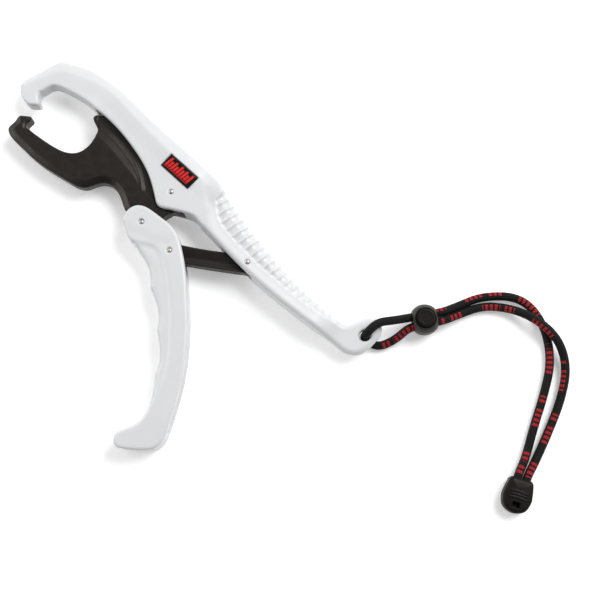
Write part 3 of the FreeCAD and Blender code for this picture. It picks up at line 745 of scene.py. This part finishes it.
def make_lock_spring():
    """The conical wire spring under the button."""
    low, high = box_of("cord_lock_spring")
    foot, head, wire, turns, around = 2.4, 4.5, 0.25, 3, 10
    steps = turns * 32
    share = np.linspace(0.0, 1.0, steps + 1)
    angle = share * turns * 2 * math.pi
    radius = foot + share * (head - foot)
    height = low[2] + wire + share * (high[2] - low[2] - 2 * wire)
    outward = np.stack([np.cos(angle), np.sin(angle), 0 * angle], axis=1)
    middle = radius[:, None] * outward + np.stack([0 * height, 0 * height, height], axis=1)
    vertices, faces = [], []
    for ring in range(steps + 1):
        for slice_ in range(around):
            turn = slice_ * 2 * math.pi / around
            away = math.cos(turn) * outward[ring] + np.array([0, 0, math.sin(turn)])
            vertices.append(middle[ring] + wire * away)
    for ring in range(steps):
        for slice_ in range(around):
            near, far = ring * around, (ring + 1) * around
            after = (slice_ + 1) % around
            faces.append((near + slice_, near + after, far + after, far + slice_))
    faces.append(tuple(range(around))[::-1])
    faces.append(tuple(range(steps * around, (steps + 1) * around)))
    place = Matrix.Translation((*LOCK_PLACE[:2], 0.0)) @ Matrix.Rotation(LOCK_PLACE[2], 4, "Z")
    spring = new_mesh("lock_spring", [place @ Vector(v) * MM for v in vertices], faces)
    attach(spring, "main_body")
    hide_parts("cord_lock_spring")
    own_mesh(spring)
    return spring


def clamp_outline():
    """The clamp's plan, mouth at zero and its round end on +X."""
    curve = smooth_curve([(1.2, 6.0), (6.5, 7.0), (10.5, 7.15), (15.2, 5.2), (17.3, 0.0),
                          (15.2, -5.2), (10.5, -7.15), (6.5, -7.0), (1.2, -6.0)], 0.5)
    return np.vstack([[(0.0, -4.8), (0.0, 4.8)], curve])


def make_clamp():
    """The clamp on the cord's ends: two halves, three raised lines and a window in front."""
    pieces = []
    outline = clamp_outline()
    for name, node, front in (("clamp_front", "cord_end_front", True),
                              ("clamp_back", "cord_end_back", False)):
        low, high = (CLAMP_MIDDLE, CLAMP_HEIGHT) if front else (0.0, CLAMP_MIDDLE)
        grid = Grid((0.0, -7.3, low), (17.5, 7.3, high), FINE_CELL)
        x, y = grid.x + 0 * grid.y, grid.y + 0 * grid.x
        distance = signed_distance(outline, grid)
        mouth = 0.25 * (1 - ramp(x, 0.4, 2.4))
        crown = 0.45 * ramp(distance, -5.0, 0.0)
        face = CLAMP_HEIGHT - 0.35
        field = rounded_plate(distance, crown + mouth, face - crown - mouth, 1.5, grid)
        if front:
            for place in (6.6, 8.1, 9.6):
                line = np.maximum(np.abs(x - place - 0.02 * y ** 2) - 0.3, np.abs(y) - 4.3)
                line = np.maximum(line[:, :, None], np.abs(grid.z - 7.9) - 0.55)
                field = smooth_min(field, line, 0.3)
            window = rectangle(x - 13.1, y, (2.6, 3.8))
            field = cut(field, np.maximum(window[:, :, None], 4.9 - grid.z), 0.3)
        field = np.maximum(field, (CLAMP_MIDDLE - grid.z) if front else (grid.z - CLAMP_MIDDLE))
        for side in (-1, 1):
            tunnel = np.hypot((y - side * 2.2)[:, :, None], grid.z - CLAMP_MIDDLE) - 2.2
            field = cut(field, np.maximum(tunnel, (x - 6.0)[:, :, None]), 0.4)
        piece = field_piece(name, field, grid, CLAMP_PLACE)
        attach(piece, "main_body")
        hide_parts(node)
        pieces.append(piece)
    return pieces


# ---------------------------------------------------------------- materials

def new_material(name, colour, roughness, **sockets):
    """A Principled material with its plain numbers on the shader's own sockets."""
    material = bpy.data.materials.new(name)
    material.use_nodes = True
    shader = material.node_tree.nodes["Principled BSDF"]
    shader.inputs["Base Color"].default_value = (*colour, 1.0)
    shader.inputs["Roughness"].default_value = roughness
    for socket, value in sockets.items():
        shader.inputs[socket.replace("_", " ")].default_value = value
    return material, material.node_tree.nodes, material.node_tree.links, shader


def add_node(nodes, kind, **settings):
    """A new node with its settings."""
    node = nodes.new(kind)
    for key, value in settings.items():
        setattr(node, key, value)
    return node


def noise(nodes, links, scale, detail=3.0):
    """A noise in the object's own coordinates."""
    place = add_node(nodes, "ShaderNodeTexCoord")
    texture = add_node(nodes, "ShaderNodeTexNoise")
    texture.inputs["Scale"].default_value = scale
    texture.inputs["Detail"].default_value = detail
    links.new(place.outputs["Object"], texture.inputs["Vector"])
    return texture.outputs["Fac"]


def map_range(nodes, links, source, **values):
    """A node that maps a source from one range to another."""
    node = add_node(nodes, "ShaderNodeMapRange")
    for socket, value in values.items():
        node.inputs[socket.replace("_", " ")].default_value = value
    links.new(source, node.inputs["Value"])
    return node


def spread(nodes, links, source, low, high):
    """The middle of a noise mapped to a range."""
    node = map_range(nodes, links, source, From_Min=0.3, From_Max=0.7, To_Min=low, To_Max=high)
    return node.outputs["Result"]


def mix_colours(nodes, links, factor, low, high):
    """A colour between two, by a factor."""
    node = add_node(nodes, "ShaderNodeMix", data_type="RGBA")
    node.inputs[6].default_value = (*low, 1.0)
    node.inputs[7].default_value = (*high, 1.0)
    links.new(factor, node.inputs[0])
    return node.outputs[2]


def add_bump(nodes, links, shader, height, distance, strength):
    """A bump of this height in metres on the shader."""
    bump = add_node(nodes, "ShaderNodeBump")
    bump.inputs["Distance"].default_value = distance
    bump.inputs["Strength"].default_value = strength
    links.new(height, bump.inputs["Height"])
    links.new(bump.outputs["Normal"], shader.inputs["Normal"])


def white_plastic():
    """Smooth white moulded plastic: a faint grain, soft gloss and a little light inside."""
    material, nodes, links, shader = new_material("white_plastic", (0.62, 0.628, 0.635), 0.34,
                                                  Subsurface_Weight=0.1, Subsurface_Scale=0.0015)
    shade = mix_colours(nodes, links, noise(nodes, links, scale=60.0),
                        low=(0.60, 0.608, 0.618), high=(0.645, 0.65, 0.657))
    links.new(shade, shader.inputs["Base Color"])
    gloss = spread(nodes, links, noise(nodes, links, scale=220.0), low=0.29, high=0.42)
    links.new(gloss, shader.inputs["Roughness"])
    grain = noise(nodes, links, scale=2600.0, detail=2.0)
    add_bump(nodes, links, shader, grain, distance=0.00003, strength=0.35)
    return material


def black_plastic(name, light, roughness, grain, gloss):
    """Black glass-filled plastic: speckled, satin and slightly warm."""
    material, nodes, links, shader = new_material(name, (light, light, light), roughness,
                                                  Specular_IOR_Level=gloss,
                                                  Specular_Tint=(1.0, 0.89, 0.82, 1.0))
    fine = noise(nodes, links, scale=2400.0, detail=4.0)
    tone = mix_colours(nodes, links, fine, low=(light * 0.72, light * 0.63, light * 0.58),
                       high=(light * 1.5, light * 1.31, light * 1.2))
    links.new(tone, shader.inputs["Base Color"])
    patches = noise(nodes, links, scale=300.0, detail=4.0)
    satin = spread(nodes, links, patches, low=roughness - 0.06, high=roughness + 0.08)
    links.new(satin, shader.inputs["Roughness"])
    add_bump(nodes, links, shader, fine, distance=grain, strength=0.5)
    return material


def pin_steel():
    """Turned steel, slightly uneven."""
    material, nodes, links, shader = new_material("pin_steel", (0.4, 0.39, 0.37), 0.3,
                                                  Metallic=1.0)
    tone = mix_colours(nodes, links, noise(nodes, links, scale=900.0),
                       low=(0.4, 0.385, 0.36), high=(0.52, 0.505, 0.48))
    links.new(tone, shader.inputs["Base Color"])
    satin = spread(nodes, links, noise(nodes, links, scale=1500.0), low=0.36, high=0.52)
    links.new(satin, shader.inputs["Roughness"])
    add_bump(nodes, links, shader, noise(nodes, links, scale=3000.0), distance=0.00002,
             strength=0.4)
    return material


def label_red():
    """Red printed ink, slightly uneven."""
    material, nodes, links, shader = new_material("label_red", (0.55, 0.02, 0.02), 0.4,
                                                  Specular_IOR_Level=0.2)
    tone = mix_colours(nodes, links, noise(nodes, links, scale=1200.0),
                       low=(0.46, 0.012, 0.014), high=(0.62, 0.024, 0.022))
    links.new(tone, shader.inputs["Base Color"])
    add_bump(nodes, links, shader, noise(nodes, links, scale=4000.0), distance=0.00001,
             strength=0.3)
    return material


def wave(nodes, links, source, times=1.0, offset=0.0):
    """A triangle wave of a value, from 0 to 1."""
    scaled = add_node(nodes, "ShaderNodeMath", operation="MULTIPLY_ADD")
    links.new(source, scaled.inputs[0])
    scaled.inputs[1].default_value = times
    scaled.inputs[2].default_value = offset
    folded = add_node(nodes, "ShaderNodeMath", operation="PINGPONG")
    folded.inputs[1].default_value = 1.0
    links.new(scaled.outputs[0], folded.inputs[0])
    return folded.outputs[0]


def calculate(nodes, links, operation, first, second=0.0):
    """The result of a calculation on one or two values or sockets."""
    node = add_node(nodes, "ShaderNodeMath", operation=operation)
    for socket, value in zip(node.inputs, (first, second)):
        if isinstance(value, (int, float)):
            socket.default_value = value
        else:
            links.new(value, socket)
    return node.outputs[0]


# Stretches of the cord that carry red marks: start and end along it in millimetres, and the
# middle of the marks round it, where 0 and 1 are its top.
MARKED = [(7, 20, 0.97), (33, 49, 0.99), (60, 76, 0.97), (91, 106, 0.01), (113, 132, 0.13),
          (144, 149, 0.15), (207, 227, 0.04), (240, 253, 0.05), (264, 281, 0.07),
          (289, 304, 0.16), (318, 334, 0.14), (346, 363, 0.02), (372, 382, 0.0)]


def cord_material():
    """Braided black cord: two sets of crossing strands, with painted shade darkening the hollows
    between them, and short red marks woven in.
    """
    material, nodes, links, shader = new_material("black_braid", (0.01, 0.01, 0.01), 0.75,
                                                  Specular_IOR_Level=0.18)
    uv = add_node(nodes, "ShaderNodeUVMap", uv_map="length_and_turn")
    parts = add_node(nodes, "ShaderNodeSeparateXYZ")
    links.new(uv.outputs["UV"], parts.inputs[0])
    length, turn = parts.outputs["X"], parts.outputs["Y"]
    along = calculate(nodes, links, "MULTIPLY", length, 120.0)
    around = calculate(nodes, links, "MULTIPLY", turn, 12.0)
    right = wave(nodes, links, calculate(nodes, links, "ADD", along, around))
    left = wave(nodes, links, calculate(nodes, links, "SUBTRACT", along, around))
    weave = calculate(nodes, links, "MAXIMUM", right, left)
    marks = red_marks(nodes, links, length, turn)
    # The thread's colour follows the weave's height: painted shade darkens the hollows between the
    # strands, and their crests are lighter.
    thread_with_groove_shade = mix_colours(nodes, links, weave, (0.001, 0.001, 0.001), (0.008, 0.0075, 0.0075))
    ink = add_node(nodes, "ShaderNodeMix", data_type="RGBA")
    ink.inputs[7].default_value = (0.40, 0.014, 0.02, 1.0)
    links.new(marks, ink.inputs[0])
    links.new(thread_with_groove_shade, ink.inputs[6])
    links.new(ink.outputs[2], shader.inputs["Base Color"])
    add_bump(nodes, links, shader, weave, distance=0.00018, strength=0.9)
    return material


def red_marks(nodes, links, length, turn):
    """Where the marks are: short strokes in each marked stretch, which spell nothing."""
    half_band = 0.125
    total = None
    for start, end, middle in MARKED:
        after = calculate(nodes, links, "GREATER_THAN", length, start / CORD_UV_SPAN)
        before = calculate(nodes, links, "LESS_THAN", length, end / CORD_UV_SPAN)
        here = calculate(nodes, links, "MULTIPLY", after, before)
        shifted = calculate(nodes, links, "SUBTRACT", turn, middle)
        whole = calculate(nodes, links, "ROUND", shifted)
        nearest = calculate(nodes, links, "SUBTRACT", shifted, whole)
        away = calculate(nodes, links, "ABSOLUTE", nearest)
        band = calculate(nodes, links, "LESS_THAN", away, half_band)
        here = calculate(nodes, links, "MULTIPLY", here, band)
        total = here if total is None else calculate(nodes, links, "ADD", total, here)
    strokes = calculate(nodes, links, "GREATER_THAN", wave(nodes, links, length, 80.0), 0.42)
    gaps = calculate(nodes, links, "GREATER_THAN", wave(nodes, links, length, 13.0, 0.3), 0.16)
    rungs = calculate(nodes, links, "GREATER_THAN", wave(nodes, links, turn, 30.0), 0.25)
    pattern = calculate(nodes, links, "MULTIPLY", strokes, gaps)
    pattern = calculate(nodes, links, "MULTIPLY", pattern, rungs)
    return calculate(nodes, links, "MULTIPLY", total, pattern)


def paint(objects, material):
    """Gives each object this material alone."""
    for piece in objects:
        piece.data.materials.clear()
        piece.data.materials.append(material)


# ---------------------------------------------------------------- stage

def make_stage():
    """A plain white floor, three soft lights and a sky that is brightest towards +Y and low."""
    mesh = bmesh.new()
    bmesh.ops.create_grid(mesh, x_segments=8, y_segments=8, size=6.0)
    data = bpy.data.meshes.new("floor")
    mesh.to_mesh(data)
    mesh.free()
    data.transform(Matrix.Translation((0, 0, -0.0002)))
    floor = bpy.data.objects.new("floor", data)
    bpy.context.scene.collection.objects.link(floor)
    white = new_material("floor_white", (0.86, 0.86, 0.86), 0.8, Emission_Strength=0.3,
                         Emission_Color=(1.0, 1.0, 1.0, 1.0))[0]
    paint([floor], white)

    world = bpy.data.worlds.new("sky")
    bpy.context.scene.world = world
    world.use_nodes = True
    nodes, links = world.node_tree.nodes, world.node_tree.links
    sky = nodes["Background"]
    sky.inputs["Color"].default_value = (1.0, 1.0, 1.0, 1.0)
    toward = add_node(nodes, "ShaderNodeSeparateXYZ")
    links.new(add_node(nodes, "ShaderNodeTexCoord").outputs["Generated"], toward.inputs[0])
    strength = map_range(nodes, links, toward.outputs["Y"], From_Min=-1.0, From_Max=1.0,
                         To_Min=0.0, To_Max=0.6)
    horizon = map_range(nodes, links, toward.outputs["Z"], From_Min=0.12, From_Max=0.42,
                        To_Min=0.68)
    horizon.interpolation_type = "SMOOTHSTEP"
    links.new(strength.outputs["Result"], horizon.inputs["To Max"])
    links.new(horizon.outputs["Result"], sky.inputs["Strength"])
    add_light("key", place=(0.3, 1.0, 1.2), side=0.9, power=23.0)
    add_light("fill", place=(-1.3, -0.3, 0.75), side=1.0, power=8.0)
    add_light("rim", place=(-1.0, -1.05, 0.95), side=0.7, power=6.5)


def add_light(name, place, side, power):
    """A square light at a place in metres, turned to the grip."""
    light = bpy.data.lights.new(name, "AREA")
    light.size = side
    light.energy = power
    lamp = bpy.data.objects.new(name, light)
    bpy.context.scene.collection.objects.link(lamp)
    lamp.location = place
    aim = Vector((0.08, 0.0, 0.0)) - Vector(place)
    lamp.rotation_euler = aim.to_track_quat("-Z", "Y").to_euler()


make_camera()
cord = make_cord()
shell = make_shell()
lever = make_lever()
jaw = make_jaw()
link = make_link()
label, marks = make_label()
pins = [make_pin("jaw_pin", "main_body"), make_pin("body_link_pin", "main_body"),
        make_pin("lever_pin", "squeeze_lever"), make_pin("lever_link_pin", "squeeze_lever")]
ball, button = make_lock()
spring = make_lock_spring()
clamp_pieces = make_clamp()
paint([cord], cord_material())
paint([shell, lever], white_plastic())
paint([marks], label_red())
for painted, name, light, roughness, grain, gloss in (
        ([jaw], "black_jaw", 0.0062, 0.4, 0.00006, 0.36),
        ([link], "black_link", 0.006, 0.46, 0.00005, 0.35),
        ([label], "black_label", 0.002, 0.16, 0.00001, 0.3),
        ([ball], "black_lock", 0.028, 0.44, 0.00003, 0.3),
        ([button], "black_button", 0.006, 0.45, 0.00003, 0.1),
        (clamp_pieces, "black_clamp", 0.0055, 0.46, 0.00004, 0.14)):
    paint(painted, black_plastic(name, light, roughness, grain, gloss))
paint([*pins, spring], pin_steel())
make_stage()
bpy.context.scene.view_settings.view_transform = "Standard"
